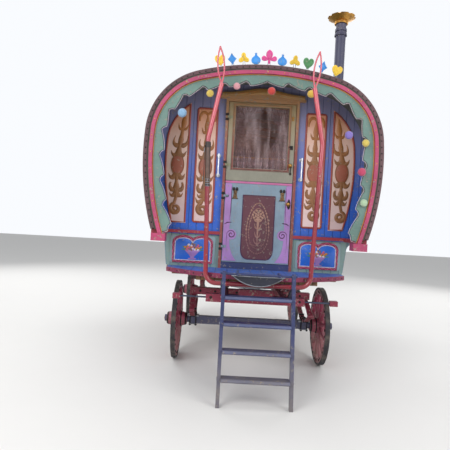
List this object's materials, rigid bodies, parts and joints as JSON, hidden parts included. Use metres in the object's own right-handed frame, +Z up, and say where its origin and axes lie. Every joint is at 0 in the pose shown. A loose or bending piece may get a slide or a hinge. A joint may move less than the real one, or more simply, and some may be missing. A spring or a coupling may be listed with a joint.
{
  "type": "bow-top living wagon with raised shafts and porch ladder",
  "caption": "Bow-top living wagon with a painted front, half doors, porch ladder, sprung spoked wheels, raised draught shafts and a stove chimney.",
  "frame": {"origin": "on the ground, at the middle of the wagon's overall length and width", "axes": "+Z up; -Y is the front, where the porch, ladder and shafts are; +X is to the right as seen from the front"},
  "size_m": [2.38, 4.3552, 4.058],
  "materials": {
    "floor_wood": "worn",
    "chassis_paint": "satin",
    "running_gear_red": "satin",
    "navy_paint": "satin",
    "wall_blue": "painted",
    "side_paint": "painted",
    "ledge_red": "painted",
    "canvas": "waxed",
    "bow_wood": "varnished",
    "fascia_sage": "painted",
    "moulding_pink": "painted",
    "panel_cream": "painted",
    "frame_brown": "painted",
    "door_grey_green": "painted",
    "door_grey_blue": "painted",
    "glass": "clear",
    "dark_iron": "satin",
    "steel": "brushed",
    "brass": "aged",
    "porch_blue": "painted",
    "porch_edge_red": "painted",
    "shaft_red": "gloss",
    "wheel_red": "painted",
    "tyre_black": "matt",
    "flue_slate": "satin",
    "strap_leather": "worn"
  },
  "bodies": {
    "wagon": {"chassis_sills": "chassis_paint", "chimney_crown": "brass", "chimney_flashing": "brass", "chimney_pipe": "flue_slate", "door_frame": "frame_brown", "fascia_boards": "fascia_sage", "fascia_moulding": "moulding_pink", "floor_bearers": "floor_wood", "floor_boards": "floor_wood", "front_wall": "wall_blue", "grab_handles": "steel", "hinge_knuckles": "dark_iron", "ladder_bar": "navy_paint", "ledge_rails": "ledge_red", "lower_sides": "side_paint", "porch_apron": "navy_paint", "porch_edge": "porch_edge_red", "porch_floor": "porch_blue", "rear_axle": "navy_paint", "rear_springs": "running_gear_red", "rear_wall": "wall_blue", "rear_window_frame": "frame_brown", "rear_window_glass": "glass", "roof_bows": "bow_wood", "roof_cover": "canvas", "stove": "dark_iron", "threshold": "dark_iron", "top_bolsters": "chassis_paint", "turntable_and_kingpin": "steel", "wall_panels": "panel_cream"},
    "forecarriage": {"front_axle": "navy_paint", "front_springs": "running_gear_red", "fore_bolster": "running_gear_red", "futchells": "running_gear_red", "turntable_lower": "steel", "splinter_bar": "running_gear_red", "shaft_irons": "steel"},
    "shafts": {"shafts": "shaft_red", "shaft_loops": "steel", "shaft_strap": "strap_leather"},
    "door_lower": {"door_lower": "door_grey_blue", "door_lower_fittings": "brass"},
    "door_upper": {"door_upper": "door_grey_green", "door_upper_fittings": "brass", "door_window": "glass"},
    "ladder": {"ladder_rails": "navy_paint", "ladder_treads": "navy_paint"},
    "wheel_front_left": {"wheel_front_left": "wheel_red", "wheel_front_left_tyre": "tyre_black"},
    "wheel_front_right": {"wheel_front_right": "wheel_red", "wheel_front_right_tyre": "tyre_black"},
    "wheel_rear_left": {"wheel_rear_left": "wheel_red", "wheel_rear_left_tyre": "tyre_black"},
    "wheel_rear_right": {"wheel_rear_right": "wheel_red", "wheel_rear_right_tyre": "tyre_black"}
  },
  "joints": [
    {"name": "steering", "type": "hinge", "parent": "wagon", "child": "forecarriage", "pos_m": [0, -0.68243, 0.93], "axis": [0, 0, 1], "range_deg": [-6, 6]},
    {"name": "shafts_swing", "type": "hinge", "parent": "forecarriage", "child": "shafts", "pos_m": [0, -1.80743, 1.055], "axis": [1, 0, 0], "range_deg": [0, 115]},
    {"name": "ladder_lift", "type": "hinge", "parent": "wagon", "child": "ladder", "pos_m": [0, -1.92257, 1.165], "axis": [-1, 0, 0], "range_deg": [0, 78]},
    {"name": "door_lower_swing", "type": "hinge", "parent": "wagon", "child": "door_lower", "pos_m": [-0.3725, -1.25943, 1.66], "axis": [0, 0, -1], "range_deg": [0, 90]},
    {"name": "door_upper_swing", "type": "hinge", "parent": "wagon", "child": "door_upper", "pos_m": [-0.3725, -1.25943, 2.54], "axis": [0, 0, -1], "range_deg": [0, 90]},
    {"name": "roll_front_left", "type": "hinge", "parent": "forecarriage", "child": "wheel_front_left", "pos_m": [-0.865, -0.68243, 0.46], "axis": [1, 0, 0], "continuous": true},
    {"name": "roll_front_right", "type": "hinge", "parent": "forecarriage", "child": "wheel_front_right", "pos_m": [0.865, -0.68243, 0.46], "axis": [1, 0, 0], "continuous": true},
    {"name": "roll_rear_left", "type": "hinge", "parent": "wagon", "child": "wheel_rear_left", "pos_m": [-0.865, 1.43757, 0.51], "axis": [1, 0, 0], "continuous": true},
    {"name": "roll_rear_right", "type": "hinge", "parent": "wagon", "child": "wheel_rear_right", "pos_m": [0.865, 1.43757, 0.51], "axis": [1, 0, 0], "continuous": true}
  ]
}
